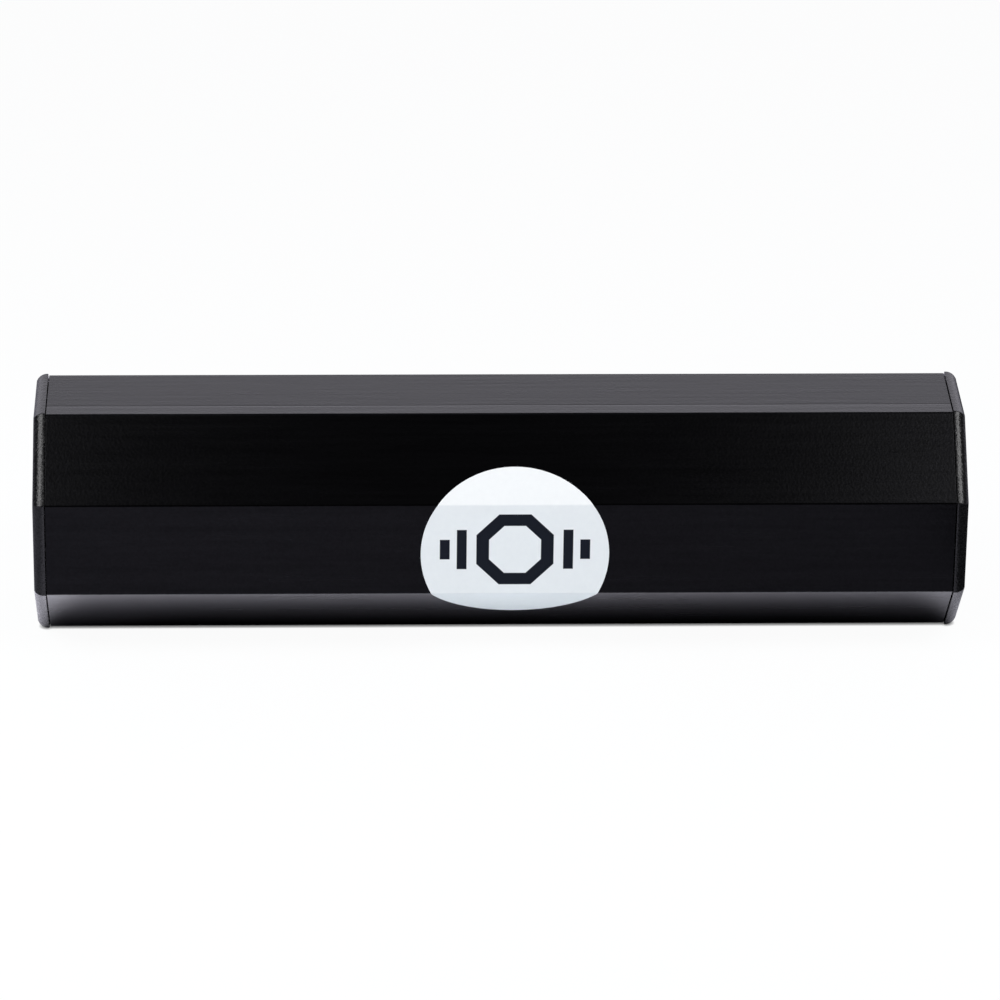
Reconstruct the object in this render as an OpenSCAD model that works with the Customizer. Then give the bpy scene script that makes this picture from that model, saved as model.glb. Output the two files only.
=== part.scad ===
// Hand shaker: an octagonal aluminium tube, closed by two moulded caps and part filled with loose shot.
// X runs along the tube, Z is up, and the shaker lies on a flat with the origin under its middle.

/* [Tube] */
// Distance across two opposite flats of the tube
tube_af = 50; // [42:0.5:60]
// Length of the tube between its sawn ends
tube_len = 192.9; // [140:0.1:260]
// Thickness of the tube's wall
tube_wall = 1.5; // [1:0.1:2.5]

/* [End caps] */
// Thickness of a cap's flange, outside the tube
cap_t = 2.5; // [2.2:0.1:5]
// Thickness of a cap's end wall
cap_end_wall = 2; // [1.2:0.1:2.2]
// How far a flange stands proud of the tube's flats
cap_proud = 0.3; // [0.2:0.1:1]
// Straight band of the flange, beside the seam
cap_land = 0.3; // [0.2:0.1:0.4]
// How far the pillowed rim draws in, from the land to the end face
cap_rim_drop = 1.4; // [0.6:0.1:1.8]
// Open seam between a flange and the tube's end
seam_gap = 0.15; // [0.1:0.05:0.8]
// Depth of a cap's plug, inside the tube
plug_depth = 10; // [6:0.5:18]
// Thickness of the plug's wall
plug_wall = 1.6; // [1.2:0.1:2.4]
// Space between the plug and the tube's wall
plug_clear = 0.25; // [0.15:0.05:0.5]
// Lead-in chamfer at the plug's mouth
plug_chamfer = 0.6; // [0.3:0.1:1]
// Width of the crush ribs that grip the tube and of the pips that stop on its end
rib_w = 1.2; // [0.8:0.1:2]
// How far the pips lie back from the tube's flats
pip_recess = 0.8; // [0.3:0.1:0.9]

/* [Label] */
// Diameter of the round label
label_d = 40; // [20:0.5:44]
// Thickness of the label's film
label_t = 0.12; // [0.08:0.01:0.2]
// Distance of the label from the tube's middle, along the tube
label_x = 2.9; // [-20:0.1:20]
// Distance of the label above the middle of the front flat
label_rise = -1.1; // [-4:0.1:4]

/* [Shot] */
// Diameter of one ball
ball_d = 4; // [2.5:0.1:4.5]
// Number of balls in a row, rolling and tossed ones together
row_balls = 22; // [10:2:24]
// Least space between two balls of a row
ball_gap = 0.1; // [0.05:0.05:0.3]
// Most that the space between two balls varies along a row
ball_scatter = 0.5; // [0.1:0.1:0.8]
// Least space between two rows
row_gap = 0.3; // [0.2:0.05:0.6]
// Space between the balls and the walls round them
shot_clear = 0.15; // [0.1:0.05:0.3]

/* [Hidden] */
// Fineness of the round shapes
ball_fn = 48;
rim_fn = 96;

// The octagon
sides = 8;
half_face_angle = 180 / sides;
face_angle = 360 / sides;

// The tube, outside and inside
tube_inner_af = tube_af - 2 * tube_wall;
cap_af = tube_af + 2 * cap_proud;
axis_z = cap_af / 2;
face_w = tube_af * tan(half_face_angle);
inner_face_w = tube_inner_af * tan(half_face_angle);
inner_floor_z = axis_z - tube_inner_af / 2;

// The caps
cap_rim_len = cap_t - cap_land;
cap_rim_r = (pow(cap_rim_len, 2) + pow(cap_rim_drop, 2)) / (2 * cap_rim_drop);
plug_af = tube_inner_af - 2 * plug_clear;
plug_bore_af = plug_af - 2 * plug_wall;
cap_seat_x = tube_len / 2 + seam_gap;
sweep_len = 2 * cap_af;

// The shot lies in rows on the tube's floor, between the two plugs.
// Rows that don't fit beside each other lie on the first ones.
row_count = 5;
chamber_len = 2 * (cap_seat_x - plug_depth);
row_reach = inner_face_w / 2 - (ball_d / 2 + shot_clear) * tan(half_face_angle);
rows_that_fit = floor(2 * row_reach / (ball_d + row_gap)) + 1;
row_columns = min(row_count, rows_that_fit);
row_pitch = 2 * row_reach / max(1, row_columns - 1);
layer_pitch = ball_d + row_gap;
// Where each row happens to lie, from the left end of its free travel, at 0, to the right end, at 1
row_rest = [0.3, 0.72, 0.1, 0.55, 0.86];
// Angles that vary the spaces between the balls, from ball to ball and from row to row
scatter_turn = 137.5;
row_phase = 53;

// An octagon that lies on a flat, by the distance across its flats
module octagon(across_flats) {
    rotate(half_face_angle) circle(d = across_flats / cos(half_face_angle), $fn = sides);
}

// Turns a shape that is drawn upright so that its Z runs along the tube's axis
module along_tube() {
    translate([0, 0, axis_z]) rotate([90, 0, 90]) children();
}

// An upright octagonal solid whose outline, through the middle of two opposite flats, is the child
module octagon_from_outline() {
    intersection_for(k = [0 : sides / 2 - 1])
        rotate(k * face_angle) rotate([90, 0, 0])
            linear_extrude(sweep_len, center = true) children();
}

// Copies a shape that is drawn on the +X flat to all the flats
module on_each_flat() {
    for (k = [0 : sides - 1]) rotate(k * face_angle) children();
}

// Extruded tube, sawn square at both ends
module tube_body() {
    color([0.09, 0.09, 0.1])
        along_tube()
            linear_extrude(tube_len, center = true)
                difference() {
                    octagon(tube_af);
                    octagon(tube_inner_af);
                }
}

// Outline of the flange: a straight land at the seam, then an arc that draws in to the flat end face
module flange_outline() {
    arc_centre = cap_af / 2 - cap_rim_r;
    intersection() {
        translate([-cap_af / 2, 0]) square([cap_af, cap_t]);
        union() {
            translate([-cap_af / 2, 0]) square([cap_af, cap_land]);
            translate([-arc_centre, 0]) square([2 * arc_centre, cap_t]);
            for (side = [-1, 1])
                translate([side * arc_centre, cap_land]) circle(cap_rim_r, $fn = rim_fn);
        }
    }
}

// Outline of the plug, with its lead-in chamfer
module plug_outline() {
    w = plug_af / 2;
    polygon([
        [-w, cap_t / 2], [w, cap_t / 2],
        [w, plug_chamfer - plug_depth], [w - plug_chamfer, -plug_depth],
        [plug_chamfer - w, -plug_depth], [-w, plug_chamfer - plug_depth]
    ]);
}

// Outline of the hollow inside the plug, up to the cap's end wall
module plug_bore_outline() {
    translate([-plug_bore_af / 2, -2 * plug_depth])
        square([plug_bore_af, 2 * plug_depth + cap_t - cap_end_wall]);
}

// Crush rib on one flat of the plug: its crest lies on the tube's inner flat
module crush_rib() {
    root = plug_af / 2 - plug_wall / 2;
    translate([root, -rib_w / 2, 2 * plug_chamfer - plug_depth])
        cube([tube_inner_af / 2 - root, rib_w, plug_depth - 2 * plug_chamfer]);
}

// Pip under the flange: it stops on the tube's end and keeps the seam open
module stop_pip() {
    root = plug_af / 2 - plug_wall / 2;
    translate([root, -rib_w / 2, -seam_gap])
        cube([tube_af / 2 - pip_recess - root, rib_w, seam_gap + cap_land]);
}

// One cap, drawn upright with its seam face at Z = 0 and its plug hanging below
module end_cap() {
    color([0.12, 0.12, 0.13])
        difference() {
            union() {
                octagon_from_outline() flange_outline();
                octagon_from_outline() plug_outline();
                on_each_flat() crush_rib();
                on_each_flat() stop_pip();
            }
            octagon_from_outline() plug_bore_outline();
        }
}

module right_end_cap() {
    along_tube() translate([0, 0, cap_seat_x]) end_cap();
}

module left_end_cap() {
    mirror([1, 0, 0]) right_end_cap();
}

// The label's film on one flat: flat 0 is the front one, 1 is above it and -1 below it.
// Its round outline is unrolled over the flats, and it laps each fold as far as the film's outer corner.
module label_on_flat(flat) {
    fold_lap = label_t * tan(half_face_angle);
    rotate([-flat * face_angle, 0, 0])
        translate([0, -tube_af / 2, 0]) rotate([90, 0, 0])
            linear_extrude(label_t)
                intersection() {
                    translate([0, label_rise - flat * face_w]) circle(d = label_d, $fn = rim_fn);
                    square([2 * label_d, face_w + 2 * fold_lap], center = true);
                }
}

// Round film label, folded over three flats of the tube
module round_label() {
    color([0.93, 0.94, 0.96])
        translate([label_x, 0, axis_z])
            for (flat = [-1 : 1]) label_on_flat(flat);
}

// Space after ball j of a row: it varies from ball to ball, as loose shot lies
function gap_after(row, j) =
    ball_gap + ball_scatter * (0.5 + 0.5 * sin(scatter_turn * j + row_phase * row));

// Distance of each ball of a row from its first ball
function ball_offsets(row) = [
    for (j = 0, x = 0; j < row_balls; x = x + ball_d + gap_after(row, j), j = j + 1) x
];

// How far a row can run between the two plugs
function row_travel(row) = chamber_len - 2 * shot_clear - ball_d - ball_offsets(row)[row_balls - 1];

// Centre of a row's first ball
function row_start(row) = -chamber_len / 2 + shot_clear + ball_d / 2 + row_rest[row] * row_travel(row);

// Every second ball of a row, from the first one, at 0, or from the second one, at 1
module shot(row, first) {
    offsets = ball_offsets(row);
    y = (row % row_columns) * row_pitch - row_reach * min(1, row_columns - 1);
    z = inner_floor_z + shot_clear + ball_d / 2 + floor(row / row_columns) * layer_pitch;
    color([0.62, 0.63, 0.65])
        for (j = [first : 2 : row_balls - 1])
            translate([row_start(row) + offsets[j], y, z]) sphere(d = ball_d, $fn = ball_fn);
}

// The balls of a row that roll along the tube's floor
module shot_row(number) {
    shot(number - 1, 0);
}

// The balls of a row that also leap across the tube
module tossed_shot(number) {
    shot(number - 1, 1);
}

tube_body();
left_end_cap();
right_end_cap();
round_label();
shot_row(1);  // shot_row_1
shot_row(2);  // shot_row_2
shot_row(3);  // shot_row_3
shot_row(4);  // shot_row_4
shot_row(5);  // shot_row_5
tossed_shot(1);  // tossed_shot_1
tossed_shot(2);  // tossed_shot_2
tossed_shot(3);  // tossed_shot_3
tossed_shot(4);  // tossed_shot_4
tossed_shot(5);  // tossed_shot_5
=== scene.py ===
import math

import bmesh
import bpy
from mathutils import Matrix, Vector


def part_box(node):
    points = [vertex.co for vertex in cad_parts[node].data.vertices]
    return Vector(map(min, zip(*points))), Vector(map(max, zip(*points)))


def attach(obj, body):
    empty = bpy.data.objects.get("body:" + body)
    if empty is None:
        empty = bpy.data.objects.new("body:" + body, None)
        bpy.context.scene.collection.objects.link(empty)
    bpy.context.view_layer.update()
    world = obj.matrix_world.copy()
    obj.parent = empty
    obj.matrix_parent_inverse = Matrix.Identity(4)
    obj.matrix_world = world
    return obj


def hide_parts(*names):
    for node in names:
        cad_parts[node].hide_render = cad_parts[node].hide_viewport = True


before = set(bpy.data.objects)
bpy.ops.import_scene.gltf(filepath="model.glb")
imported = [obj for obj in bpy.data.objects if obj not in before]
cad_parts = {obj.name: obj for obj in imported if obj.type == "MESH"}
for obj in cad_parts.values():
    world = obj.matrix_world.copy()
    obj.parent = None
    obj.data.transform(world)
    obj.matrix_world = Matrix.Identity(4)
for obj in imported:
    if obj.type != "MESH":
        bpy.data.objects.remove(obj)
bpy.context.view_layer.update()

# The tube: one length of eight-sided aluminium extrusion with a thin wall, sawn square and deburred.
# The die leaves a small radius on its long edges and faint lines along its flats, and the whole
# length is anodised black, a hard satin skin with a slight violet cast.
mm = 0.001
sides = 8
half_face_angle = math.pi / sides
tube_low, tube_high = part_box("tube_body")
tube_across = tube_high.z - tube_low.z
axis_height = (tube_low.z + tube_high.z) / 2
tube_wall = 1.5 * mm
tube_edge_radius = 0.6 * mm
tube_edge_steps = 5
tube_edge_width = tube_edge_radius * math.tan(half_face_angle)
sawn_edge = 0.12 * mm
sawn_edge_steps = 2
square_on = 0.9
straight_along = 0.99
sharp_edge = math.radians(80)
smooth_edge = math.radians(30)


def octagonal_bar(name, across, x_from, x_to):
    """A new eight-sided bar along the tube's axis, lying on one of its flats."""
    bpy.ops.object.select_all(action="DESELECT")
    corner_radius = across / 2 / math.cos(half_face_angle)
    bpy.ops.mesh.primitive_cylinder_add(vertices=sides, radius=corner_radius, depth=x_to - x_from)
    bar = bpy.context.object
    bar.name = bar.data.name = name
    lay_down = Matrix.Rotation(math.pi / 2, 4, "Y") @ Matrix.Rotation(half_face_angle, 4, "Z")
    bar.matrix_world = Matrix.Translation(((x_from + x_to) / 2, 0, axis_height)) @ lay_down
    bpy.ops.object.transform_apply(location=True, rotation=True, scale=True)
    return bar


def choose(piece, kind, wanted):
    """Selects only those faces or edges of a piece, in edit mode, for which wanted says yes."""
    bpy.ops.mesh.select_mode(type=kind)
    bpy.ops.mesh.select_all(action="DESELECT")
    mesh = bmesh.from_edit_mesh(piece.data)
    parts = list(mesh.faces if kind == "FACE" else mesh.edges)
    for part in [part for part in parts if wanted(part)]:
        part.select_set(True)
    bmesh.update_edit_mesh(piece.data)


def runs_along_tube(edge):
    """True for an edge that runs along the tube."""
    along = edge.verts[1].co - edge.verts[0].co
    return abs(along.x) > straight_along * along.length


def smooth(piece):
    """Shades a finished piece smooth over its shallow edges, with its flats kept flat."""
    bpy.ops.object.mode_set(mode="OBJECT")
    bpy.ops.object.select_all(action="DESELECT")
    piece.select_set(True)
    bpy.context.view_layer.objects.active = piece
    bpy.ops.object.shade_smooth_by_angle(angle=smooth_edge)
    bpy.ops.object.modifier_add(type="WEIGHTED_NORMAL")
    piece.modifiers[-1].keep_sharp = True
    bpy.ops.object.modifier_apply(modifier=piece.modifiers[-1].name)


tube = octagonal_bar("tube", tube_across, tube_low.x, tube_high.x)
bpy.ops.object.mode_set(mode="EDIT")
choose(tube, "FACE", lambda face: abs(face.normal.x) > square_on)
bpy.ops.mesh.inset(thickness=tube_wall, use_individual=True)
bpy.ops.mesh.bridge_edge_loops()
bpy.ops.mesh.select_all(action="SELECT")
bpy.ops.mesh.normals_make_consistent(inside=False)
choose(tube, "EDGE", runs_along_tube)
bpy.ops.mesh.bevel(offset=tube_edge_width, segments=tube_edge_steps, affect="EDGES")
choose(tube, "EDGE", lambda edge: edge.calc_face_angle() > sharp_edge)
bpy.ops.mesh.bevel(offset=sawn_edge, segments=sawn_edge_steps, affect="EDGES")
smooth(tube)


class Wire:
    """A value in a node tree: arithmetic adds Math nodes, and node adds any other node."""

    def __init__(self, tree, socket=None):
        self.tree = tree
        self.socket = socket

    def node(self, kind, settings=None, sockets=None, output=0):
        """Adds a node with these settings and socket values or links, and gives one output's wire."""
        made = self.tree.nodes.new("ShaderNode" + kind)
        for name, value in (settings or {}).items():
            setattr(made, name, value)
        self.feed(made, sockets or {})
        return Wire(self.tree, made.outputs[output])

    def feed(self, node, sockets):
        """Sets or links these sockets of a node."""
        for name, value in sockets.items():
            if isinstance(value, Wire):
                self.tree.links.new(value.socket, node.inputs[name])
            else:
                node.inputs[name].default_value = value

    def maths(self, operation, *values):
        """Adds a Math node on these values."""
        return self.node("Math", {"operation": operation}, dict(enumerate(values)))

    def __add__(self, other):
        return self.maths("ADD", self, other)

    def __sub__(self, other):
        return self.maths("SUBTRACT", self, other)

    def __rsub__(self, other):
        return self.maths("SUBTRACT", other, self)

    def __mul__(self, other):
        return self.maths("MULTIPLY", self, other)

    def __abs__(self):
        return self.maths("ABSOLUTE", self)

    __radd__ = __add__
    __rmul__ = __mul__

    def axis(self, name):
        """The X, Y or Z of a place or direction."""
        return self.node("SeparateXYZ", {}, {0: self}, output=name)

    def at_least(self, other):
        """The larger of this value and another."""
        return self.maths("MAXIMUM", self, other)

    def rise(self, low, high):
        """0 below low and 1 above high, with a smooth climb between them."""
        ends = {"Value": self, "From Min": low, "From Max": high}
        return self.node("MapRange", {"interpolation_type": "SMOOTHSTEP"}, ends)

    def near(self, centre, reach):
        """1 at centre, and 0 beyond that reach on both sides of it."""
        return 1 - abs(self - centre).rise(0, reach)

    def between(self, low, high):
        """The colour that lies this far on the way from low to high."""
        return self.node("Mix", {"data_type": "RGBA"}, {0: self, 6: low, 7: high}, output=2)

    def noise(self, place, scale, detail=2, roughness=0.5):
        """Noise with that many features to the metre, one number for each axis."""
        stretched = self.node("Mapping", {}, {"Vector": place, "Scale": scale})
        sockets = {"Vector": stretched, "Scale": 1, "Detail": detail, "Roughness": roughness}
        return self.node("TexNoise", {}, sockets)


def new_material(name, shader_values):
    """A new material, its wire and its shader, with the values that are the same all over."""
    material = bpy.data.materials.new(name)
    material.use_nodes = True
    shader = material.node_tree.nodes["Principled BSDF"]
    wire = Wire(material.node_tree)
    wire.feed(shader, shader_values)
    return material, wire, shader


anodised_dark = (0.0014, 0.0014, 0.0015, 1)
anodised_light = (0.0112, 0.0112, 0.0121, 1)
line_depth = 0.02 * mm
streak_depth = 0.03 * mm
top_line_place = -6.2 * mm
top_line_width = 0.5 * mm
top_line_depth = 0.02 * mm
top_lip_slope = 0.03
speckle_depth = 0.03 * mm
die_line_scale = (0.6, 420, 420)
streak_scale = (55, 950, 950)
cloud_scale = (35, 60, 60)
speckle_scale = (1900, 1900, 1900)
top_face = (tube_high.z - 0.2 * mm, tube_high.z - 0.1 * mm)
satin_roughness = 0.18
anodised, wire, shader = new_material("black_anodised_aluminium", {"Metallic": 1})
place = wire.node("TexCoord", output="Object")
across = place.axis("Y")
die_lines = wire.noise(place, die_line_scale, detail=3, roughness=0.6)
streaks = wire.noise(place, streak_scale, detail=3, roughness=0.6)
cloud = wire.noise(place, cloud_scale, detail=3)
speckle = wire.noise(place, speckle_scale)
on_top = place.axis("Z").rise(*top_face)
top_lip = (top_line_place - across).at_least(0) * top_lip_slope
# A shallow groove along the top flat. Its colour is darkened as well, which is painted shade in the
# groove.
top_groove_and_shade = on_top * across.near(top_line_place, top_line_width)
satin = die_lines * line_depth + streaks * streak_depth + speckle * speckle_depth
relief = satin + on_top * top_lip - top_groove_and_shade * top_line_depth
bump = wire.node("Bump", {}, {"Strength": 1, "Distance": 1, "Height": relief})
# Tone: die lines, streaks, clouds and speckle at random, less painted shade along the top groove.
tone = 0.25 * die_lines + 0.3 * streaks + 0.1 * cloud + 0.35 * speckle - 0.25 * top_groove_and_shade
wire.feed(shader, {
    "Base Color": tone.between(anodised_dark, anodised_light),
    "Roughness": satin_roughness + 0.07 * die_lines + 0.05 * streaks + 0.04 * cloud,
    "Normal": bump,
})
tube.data.materials.append(anodised)
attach(tube, "shell")
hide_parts("tube_body")

# The end caps: one black plastic moulding, used at both ends. A flange with a pillowed rim covers the
# tube's end, and a hollow plug with crush ribs goes into it, up to eight pips that keep the seam open.
# The mould was spark eroded, which leaves an even, leathery grain.
cap_low, cap_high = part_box("right_end_cap")
cap_across = cap_high.z - cap_low.z
cap_thickness = 2.5 * mm
cap_land = 0.3 * mm
cap_rim_drop = 1.4 * mm
cap_rim_length = cap_thickness - cap_land
cap_rim_radius = (cap_rim_length ** 2 + cap_rim_drop ** 2) / (2 * cap_rim_drop)
cap_rim_steps = 10
cap_edge_radius = 0.4 * mm
cap_edge_width = cap_edge_radius * math.tan(half_face_angle)
cap_edge_steps = 4
seam_edge = 0.12 * mm
seam_edge_steps = 2
cap_end_wall = 2 * mm
cap_seat = cap_high.x - cap_thickness
plug_depth = cap_seat - cap_low.x
plug_clearance = 0.25 * mm
plug_across = tube_across - 2 * tube_wall - 2 * plug_clearance
plug_wall = 1.6 * mm
plug_chamfer = 0.6 * mm
rib_width = 1.2 * mm
pip_recess = 0.8 * mm
sunk_in_flange = 0.1 * mm
near_enough = 0.01 * mm
on_axis = Vector((0, 0, axis_height))


def push(distance, shrink=1):
    """Extrudes the chosen face along the tube, and draws it in towards the axis."""
    bpy.ops.mesh.extrude_region_move(TRANSFORM_OT_translate={"value": (distance, 0, 0)})
    bpy.ops.transform.resize(value=(1, shrink, shrink), center_override=on_axis)


right_cap = octagonal_bar("right_cap", cap_across, cap_seat, cap_seat + cap_land)
bpy.ops.object.mode_set(mode="EDIT")
choose(right_cap, "FACE", lambda face: face.normal.x > square_on)
rim_turn = math.asin(cap_rim_length / cap_rim_radius)
half_across, along = cap_across / 2, 0
for step in range(1, cap_rim_steps + 1):
    turn = rim_turn * step / cap_rim_steps
    next_half = cap_across / 2 - cap_rim_radius * (1 - math.cos(turn))
    next_along = cap_rim_radius * math.sin(turn)
    push(next_along - along, next_half / half_across)
    half_across, along = next_half, next_along
choose(right_cap, "FACE", lambda face: face.normal.x < -square_on)
bpy.ops.mesh.inset(thickness=(cap_across - plug_across) / 2)
push(plug_chamfer - plug_depth)
push(-plug_chamfer, 1 - 2 * plug_chamfer / plug_across)
bpy.ops.mesh.inset(thickness=plug_wall - plug_chamfer)
push(plug_depth + cap_thickness - cap_end_wall)


def is_mitre(edge):
    """True for an edge of the flange that runs down one of its eight corners."""
    places = [vertex.co.x for vertex in edge.verts]
    return min(places) > cap_seat - near_enough and max(places) - min(places) > near_enough


choose(right_cap, "EDGE", is_mitre)
bpy.ops.mesh.bevel(offset=cap_edge_width, segments=cap_edge_steps, affect="EDGES")


def is_seam_edge(edge):
    """True for an edge of the flange's outline at the seam."""
    middle = (edge.verts[0].co + edge.verts[1].co) / 2 - on_axis
    at_seam = abs(middle.x - cap_seat) < near_enough and middle.yz.length > tube_across / 2
    return at_seam and edge.calc_face_angle() > sharp_edge


choose(right_cap, "EDGE", is_seam_edge)
bpy.ops.mesh.bevel(offset=seam_edge, segments=seam_edge_steps, affect="EDGES")
bpy.ops.object.mode_set(mode="OBJECT")


def add_on_each_flat(piece, radius_from, radius_to, x_from, x_to):
    """Fuses a small block to each of the plug's eight flats, between those radii and those places."""
    blocks = []
    for flat in range(sides):
        bpy.ops.object.select_all(action="DESELECT")
        bpy.ops.mesh.primitive_cube_add(size=1)
        block = bpy.context.object
        turn = Matrix.Rotation(flat * 2 * half_face_angle, 4, "X")
        shift = Matrix.Translation(((x_from + x_to) / 2, 0, (radius_from + radius_to) / 2))
        size = Matrix.Diagonal((x_to - x_from, rib_width, radius_to - radius_from, 1))
        block.matrix_world = Matrix.Translation(on_axis) @ turn @ shift @ size
        bpy.ops.object.transform_apply(location=True, rotation=True, scale=True)
        blocks.append(block)
    for block in blocks:
        block.select_set(True)
    bpy.ops.object.join()
    joined = bpy.context.object
    bpy.context.view_layer.objects.active = piece
    bpy.ops.object.modifier_add(type="BOOLEAN")
    fuse = piece.modifiers[-1]
    fuse.operation = "UNION"
    fuse.solver = "EXACT"
    fuse.object = joined
    bpy.ops.object.modifier_apply(modifier=fuse.name)
    bpy.data.objects.remove(joined)


rib_root = plug_across / 2 - plug_wall / 2
tube_inside = tube_across / 2 - tube_wall
block_end = cap_seat + sunk_in_flange
add_on_each_flat(right_cap, rib_root, tube_inside, cap_low.x + 2 * plug_chamfer, block_end)
add_on_each_flat(right_cap, rib_root, tube_across / 2 - pip_recess, tube_high.x, block_end)
smooth(right_cap)

bpy.ops.object.duplicate()
left_cap = bpy.context.object
left_cap.name = left_cap.data.name = "left_cap"
left_cap.matrix_world = Matrix.Rotation(math.pi, 4, "Z")
bpy.ops.object.transform_apply(location=True, rotation=True, scale=True)

grain_size = 0.5 * mm
grain_depth = 0.09 * mm
fine_grain_scale = (2100, 2100, 2100)
flow_scale = (120, 120, 120)
pit_levels = (0.25, 0.6)
painted_pit_shade = 0.4
grain_roughness = 0.2
cap_black = (0.0015, 0.0015, 0.0017, 1)
cap_grey = (0.005, 0.005, 0.0055, 1)
cap_plastic, wire, shader = new_material("black_cap_plastic", {"IOR": 1.36})
place = wire.node("TexCoord", output="Object")
cell_values = {"Vector": place, "Scale": 1 / grain_size, "Smoothness": 0.6}
grain_cells = wire.node("TexVoronoi", {"feature": "SMOOTH_F1"}, cell_values)
grain_noise = wire.noise(place, fine_grain_scale)
flow = wire.noise(place, flow_scale)
grain = 0.6 * grain_noise + 0.4 * grain_cells
bump = wire.node("Bump", {}, {"Strength": 1, "Distance": grain_depth, "Height": grain})
# Metallic rises in the grain's pits, which turns their reflection to the near black base colour:
# painted shade in the pits.
wire.feed(shader, {
    "Base Color": (0.7 * grain_noise + 0.3 * flow).between(cap_black, cap_grey),
    "Roughness": grain_roughness + 0.1 * grain_noise + 0.05 * flow,
    "Metallic": painted_pit_shade * (1 - grain.rise(*pit_levels)),
    "Normal": bump,
})
for cap, node in ((left_cap, "left_end_cap"), (right_cap, "right_end_cap")):
    cap.data.materials.append(cap_plastic)
    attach(cap, "shell")
    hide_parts(node)

# The label: a round die-cut film with its own adhesive, pressed over three flats of the tube.
# It follows the radius of the two edges that it crosses, and it is printed in black with an
# octagon ring between two pairs of bars.
label_low, label_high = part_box("round_label")
label_middle = (label_low.x + label_high.x) / 2
label_radius = 20 * mm
label_rise = -1.1 * mm
label_film = 0.12 * mm
label_lift = 0.004 * mm
label_points = 160
fold_steps = 5
face_width = tube_across * math.tan(half_face_angle)
fold_radius = tube_edge_radius + label_lift
fold_start = face_width / 2 - tube_edge_width
fold_length = fold_radius * 2 * half_face_angle
fold_margin = 0.1 * label_lift
label_plane = -tube_across / 2 - label_lift
label_centre = Vector((label_middle, label_plane, axis_height + label_rise))

bpy.ops.object.select_all(action="DESELECT")
bpy.ops.mesh.primitive_circle_add(vertices=label_points, radius=label_radius, fill_type="NGON")
label = bpy.context.object
label.name = label.data.name = "label"
label.matrix_world = Matrix.Translation(label_centre) @ Matrix.Rotation(math.pi / 2, 4, "X")
bpy.ops.object.transform_apply(location=True, rotation=True, scale=True)
bpy.ops.object.mode_set(mode="EDIT")
fold_lines = [fold_start + fold_length * (step + 0.5) / fold_steps for step in range(fold_steps)]
for line in [-line for line in fold_lines] + fold_lines:
    bpy.ops.mesh.select_all(action="SELECT")
    bpy.ops.mesh.bisect(plane_co=(0, 0, axis_height + line), plane_no=(0, 0, 1))
bpy.ops.object.mode_set(mode="OBJECT")
label.data.uv_layers[0].name = "unrolled"
flat_heights = [vertex.co.z - axis_height for vertex in label.data.vertices]
for loop in label.data.loops:
    from_centre = label.data.vertices[loop.vertex_index].co - label_centre
    to_edge = from_centre.xz / (2 * label_radius)
    label.data.uv_layers[0].data[loop.index].uv = (0.5 + to_edge.x, 0.5 + to_edge.y)
bpy.ops.object.mode_set(mode="EDIT")
bpy.ops.mesh.select_mode(type="VERT")
fold_turn = 2 * half_face_angle / fold_steps
for way in (1, -1):
    hinge = Vector((0, label_plane, axis_height + way * fold_lines[0]))
    for step, line in enumerate(fold_lines):
        bpy.ops.mesh.select_all(action="DESELECT")
        mesh = bmesh.from_edit_mesh(label.data)
        for vertex in mesh.verts:
            vertex.select_set(way * flat_heights[vertex.index] > line + fold_margin)
        bmesh.update_edit_mesh(label.data)
        bpy.ops.transform.rotate(value=way * fold_turn, orient_axis="X", center_override=hinge)
        turned = (step + 1) * fold_turn
        hinge += Vector((0, math.sin(turned), way * math.cos(turned))) * fold_length / fold_steps
bpy.ops.object.mode_set(mode="OBJECT")
bpy.ops.object.modifier_add(type="SOLIDIFY")
label.modifiers[-1].thickness = label_film
label.modifiers[-1].offset = 1
bpy.ops.object.modifier_apply(modifier=label.modifiers[-1].name)
smooth(label)

film_white = (0.80, 0.824, 0.818, 1)
film_shade = (0.76, 0.784, 0.783, 1)
print_black = (0.002, 0.0045, 0.009, 1)
print_edge = 0.06 * mm
ring_outside = 16.4 * mm
ring_inside = 11 * mm
bar_half_width = 1.05 * mm
bars = ((11.3 * mm, 4.6 * mm), (14.9 * mm, 2.3 * mm))
paper_scale = (900, 900, 900)
ripple_scale = (60, 260, 260)
ripple_depth = 0.03 * mm
film_roughness = 0.34
film, wire, shader = new_material("white_label_film", {"IOR": 1.2})
place = wire.node("TexCoord", output="Object")
paper = wire.noise(place, paper_scale, detail=3)
unrolled_place = wire.node("UVMap", {"uv_map": "unrolled"})
to_side = abs((unrolled_place.axis("X") - 0.5) * (2 * label_radius))
to_end = abs((unrolled_place.axis("Y") - 0.5) * (2 * label_radius) + label_rise)
to_flat = to_side.at_least(to_end).at_least((to_side + to_end) * math.sqrt(0.5))
ink = (ring_inside / 2 - to_flat).at_least(to_flat - ring_outside / 2)
for bar_place, bar_half_height in bars:
    outside_bar = (abs(to_side - bar_place) - bar_half_width).at_least(to_end - bar_half_height)
    ink = ink.maths("MINIMUM", ink, outside_bar)
ink = 1 - ink.rise(-print_edge, print_edge)
relief = 0.5 * paper + 0.5 * wire.noise(place, ripple_scale)
bump = wire.node("Bump", {}, {"Strength": 0.12, "Distance": ripple_depth, "Height": relief})
wire.feed(shader, {
    "Base Color": ink.between(paper.between(film_shade, film_white), print_black),
    "Roughness": film_roughness + 0.08 * paper,
    "Normal": bump,
})
label.data.materials.append(film)
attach(label, "shell")
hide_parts("round_label")

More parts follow.
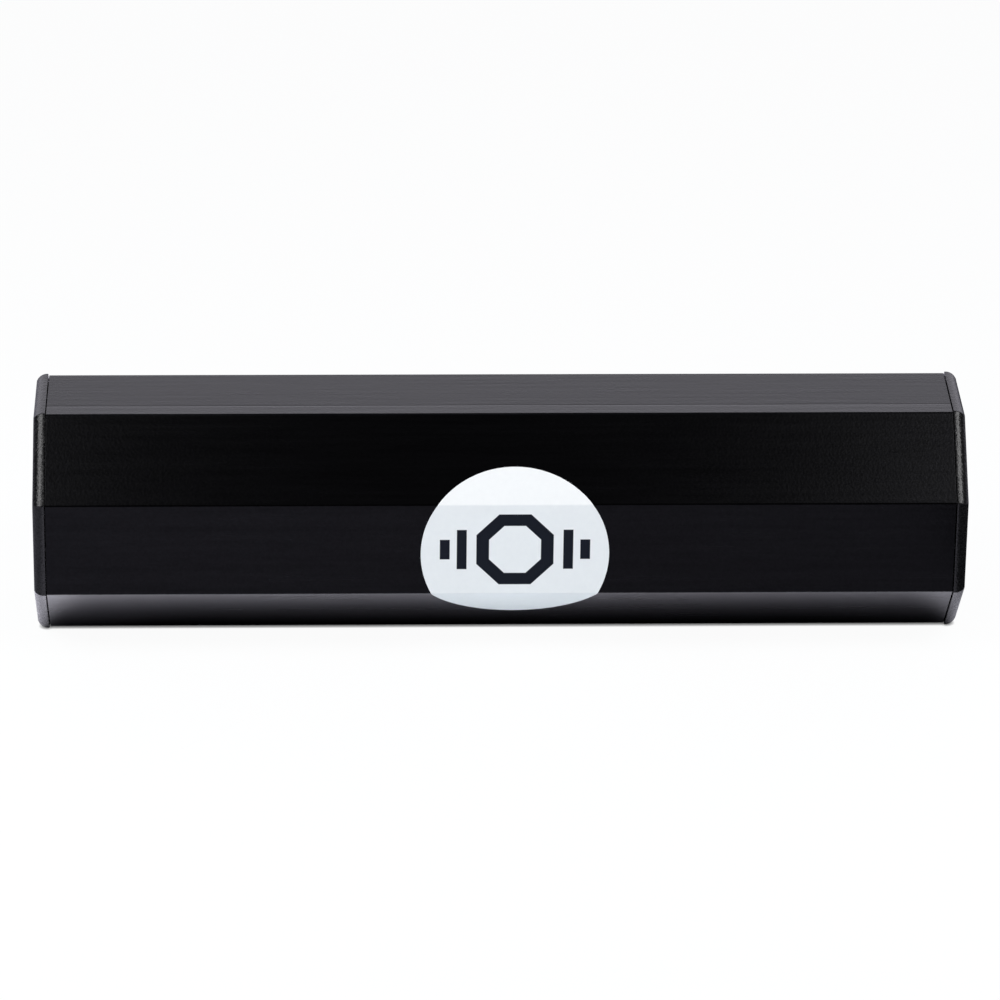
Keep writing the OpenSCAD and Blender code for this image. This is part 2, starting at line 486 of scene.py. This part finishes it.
# The shot: plain steel balls, tumbled until they are dull, loose in the tube.
# The solids already have the right shape, so they only get their finish.
steel_dark = (0.34, 0.34, 0.35, 1)
steel_light = (0.62, 0.62, 0.63, 1)
tumble_scale = (1400, 1400, 1400)
scuff_scale = (5200, 2400, 3600)
scuff_depth = 0.02 * mm
tumbled_roughness = 0.24
steel, wire, shader = new_material("shot_steel", {"Metallic": 1})
place = wire.node("TexCoord", output="Object")
tumbled = wire.noise(place, tumble_scale, detail=4, roughness=0.6)
scuffs = wire.noise(place, scuff_scale)
bump = wire.node("Bump", {}, {"Strength": 0.2, "Distance": scuff_depth, "Height": scuffs})
wire.feed(shader, {
    "Base Color": tumbled.between(steel_dark, steel_light),
    "Roughness": tumbled_roughness + 0.22 * tumbled,
    "Normal": bump,
})
for name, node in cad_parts.items():
    if "shot" in name:
        node.data.materials.clear()
        node.data.materials.append(steel)

# The floor: a plain pale sheet. To the camera it is mostly a white glow, with a soft painted contact
# shade where the shaker touches it. In the shaker's reflections its colour is painted light and shadow
# in zones: a painted shadow under the tube, a bright painted pool of light beside that shade, brighter
# on the left than on the right, and dim past the ends.
floor_size = 8
floor_colour = (0.89, 0.96, 1.0, 1)
# Painted light and shadow for the floor's reflections, in colours that may run above 1.
painted_pool_left = (5.85, 5.79, 6.39, 1)
painted_pool_right = (4.4, 4.35, 4.82, 1)
painted_shadow_under = (0, 0, 0, 1)
painted_light_beside_left = (1.9, 1.88, 2.08, 1)
painted_light_beside_right = (1.2, 1.2, 1.32, 1)
painted_light_front_left = (1.34, 1.31, 1.5, 1)
painted_light_front_right = (1.06, 1.04, 1.19, 1)
painted_light_left_end = (0.55, 0.55, 0.63, 1)
painted_shade_right_end = (0.03, 0.03, 0.033, 1)
painted_light_beyond = (1, 0.99, 1.1, 1)
left_to_right = (-100 * mm, 60 * mm)
under_to_pool = (10 * mm, 25 * mm)
middle_to_ends = (65 * mm, 100 * mm)
left_shade_cut = 1.4 * mm
right_shade_cut = 0.6 * mm
pool_to_beside = (92 * mm, 104 * mm)
pool_to_front = (20 * mm, 31 * mm)
beside_to_left_end = (104 * mm, 124 * mm)
beside_to_right_end = (100 * mm, 114 * mm)
ends_to_beyond = (190 * mm, 260 * mm)
white_to_camera = 0.95
contact_reach = 0.8 * mm
white = (1, 1, 1, 1)
bpy.ops.object.select_all(action="DESELECT")
bpy.ops.mesh.primitive_plane_add(size=floor_size)
floor = bpy.context.object
floor.name = floor.data.name = "floor"
pale, wire, shader = new_material("pale_floor", {"Roughness": 0.9, "Specular IOR Level": 0})
in_mirror = wire.node("LightPath", output="Is Glossy Ray")
place = wire.node("TexCoord", output="Object")
along_tube = place.axis("X")
from_middle = abs(along_tube)
from_axis = abs(place.axis("Y"))
to_right = along_tube.rise(*left_to_right)
painted_pool = to_right.between(painted_pool_left, painted_pool_right)
shade_cut = left_shade_cut + (right_shade_cut - left_shade_cut) * to_right
out_of_painted_shadow = from_axis + shade_cut * from_middle.rise(*middle_to_ends)
painted_pool = out_of_painted_shadow.rise(*under_to_pool).between(painted_shadow_under, painted_pool)
painted_beside = to_right.between(painted_light_beside_left, painted_light_beside_right)
painted_pool = from_middle.rise(*pool_to_beside).between(painted_pool, painted_beside)
painted_front = to_right.between(painted_light_front_left, painted_light_front_right)
painted_reflection = from_axis.rise(*pool_to_front).between(painted_pool, painted_front)
painted_reflection = (-1 * along_tube).rise(*beside_to_left_end).between(painted_reflection, painted_light_left_end)
painted_reflection = along_tube.rise(*beside_to_right_end).between(painted_reflection, painted_shade_right_end)
painted_reflection = from_middle.rise(*ends_to_beyond).between(painted_reflection, painted_light_beyond)
# Only reflections see these painted zones. All other rays see the floor's plain colour.
wire.feed(shader, {"Base Color": in_mirror.between(floor_colour, painted_reflection)})
seen = wire.node("LightPath", output="Is Camera Ray")
seen = seen + wire.node("LightPath", output="Is Transmission Ray")
# The glow takes the ambient occlusion as its colour, which is a painted contact shade. The lit share
# keeps the lamps' real shadow.
painted_contact_shade = wire.node("AmbientOcclusion", {"samples": 8}, {"Distance": contact_reach}, output="AO")
glow = wire.node("Emission", {}, {"Color": painted_contact_shade, "Strength": 1})
lit = Wire(pale.node_tree, shader.outputs[0])
surface = wire.node("MixShader", {}, {0: white_to_camera * seen, 1: lit, 2: glow})
wire.feed(pale.node_tree.nodes["Material Output"], {"Surface": surface})
floor.data.materials.append(pale)

# The studio: a dim room with a bright wall behind the shaker, one in front that is open in its middle,
# and a dim ceiling. Six softboxes stand at the sides, in front and over the ends.
# To the camera the room is white.
room_dark = 0.07
back_wall_bright = 1.27
front_wall_bright = 1.5
ceiling_bright = 0.27
wall_tint = (0.96, 0.94, 1.04, 1)
wall_edge = (0.2, 0.75)
back_wall_top = (0.5, 0.85)
front_wall_top = (0.35, 0.65)
front_wall_opening = (0.25, 0.5)
ceiling_edge = (0.7, 0.9)
world = bpy.data.worlds.new("studio")
world.use_nodes = True
bpy.context.scene.world = world
wire = Wire(world.node_tree)
direction = wire.node("TexCoord", output="Generated")
depth = direction.axis("Y")
height = direction.axis("Z")
back_wall = depth.rise(*wall_edge) * (1 - height.rise(*back_wall_top))
front_wall = (-1 * depth).rise(*wall_edge) * (1 - height.rise(*front_wall_top))
front_wall = front_wall * abs(direction.axis("X")).rise(*front_wall_opening)
ceiling = height.rise(*ceiling_edge)
room = room_dark + (back_wall_bright - room_dark) * back_wall
room = room + (front_wall_bright - room_dark) * front_wall
room = room + (ceiling_bright - room_dark) * ceiling
seen = wire.node("LightPath", output="Is Camera Ray")
wire.feed(world.node_tree.nodes["Background"], {
    "Color": seen.between(wall_tint, white),
    "Strength": room * (1 - seen) + seen,
})


def direction_at(azimuth, elevation):
    """The direction at those degrees to the right of the front and above the floor."""
    turn, lift = math.radians(azimuth), math.radians(elevation)
    return Vector((math.cos(lift) * math.sin(turn), -math.cos(lift) * math.cos(turn), math.sin(lift)))


def softbox(name, azimuth, elevation, distance, size, level):
    """A flat lamp that faces the shaker. Level 1 alone shows a white card that faces it as white."""
    lamp = bpy.data.lights.new(name, "AREA")
    lamp.shape = "RECTANGLE"
    lamp.size, lamp.size_y = size
    lamp.energy = level * (math.pi * distance) ** 2
    holder = bpy.data.objects.new(name, lamp)
    holder.visible_camera = False
    bpy.context.scene.collection.objects.link(holder)
    towards = direction_at(azimuth, elevation)
    holder.location = on_axis + distance * towards
    holder.rotation_euler = towards.to_track_quat("Z", "Y").to_euler()


softbox("left_side", azimuth=-69, elevation=42, distance=0.38, size=(0.157, 0.157), level=0.41)
softbox("right_side", azimuth=65, elevation=44, distance=0.35, size=(0.13, 0.13), level=0.38)
softbox("front_left", azimuth=-50, elevation=40, distance=0.5, size=(0.17, 0.17), level=0.11)
softbox("front_right", azimuth=50, elevation=40, distance=0.8, size=(0.25, 0.25), level=0.06)
softbox("over_left", azimuth=-51, elevation=52, distance=0.37, size=(0.15, 0.12), level=0.08)
softbox("over_right", azimuth=50, elevation=53, distance=0.37, size=(0.15, 0.12), level=0.07)

# The camera: a long lens, a little left of the middle and looking down on the shaker,
# with a slight roll. Its place is measured from the middle of the tube's axis.
view_azimuth = -2.089
view_elevation = 25.029
view_roll = math.radians(0.700)
camera_place = Vector((-42.288, -1173.2, 548.0)) * mm
sight_limit = 20
picture_width = 1000
focal_length_in_pixels = 6003.6
sensor_width = 36
lens = bpy.data.cameras.new("camera")
lens.sensor_width = sensor_width
lens.lens = focal_length_in_pixels / picture_width * sensor_width
lens.clip_end = sight_limit
camera = bpy.data.objects.new("camera", lens)
bpy.context.scene.collection.objects.link(camera)
back = direction_at(view_azimuth, view_elevation)
level_right = direction_at(view_azimuth + 90, 0)
level_up = back.cross(level_right)
right = math.cos(view_roll) * level_right + math.sin(view_roll) * level_up
up = back.cross(right)
facing = Matrix((right, up, back)).transposed().to_4x4()
camera.matrix_world = Matrix.Translation(on_axis + camera_place) @ facing
bpy.context.scene.camera = camera
bpy.context.scene.view_settings.view_transform = "Standard"
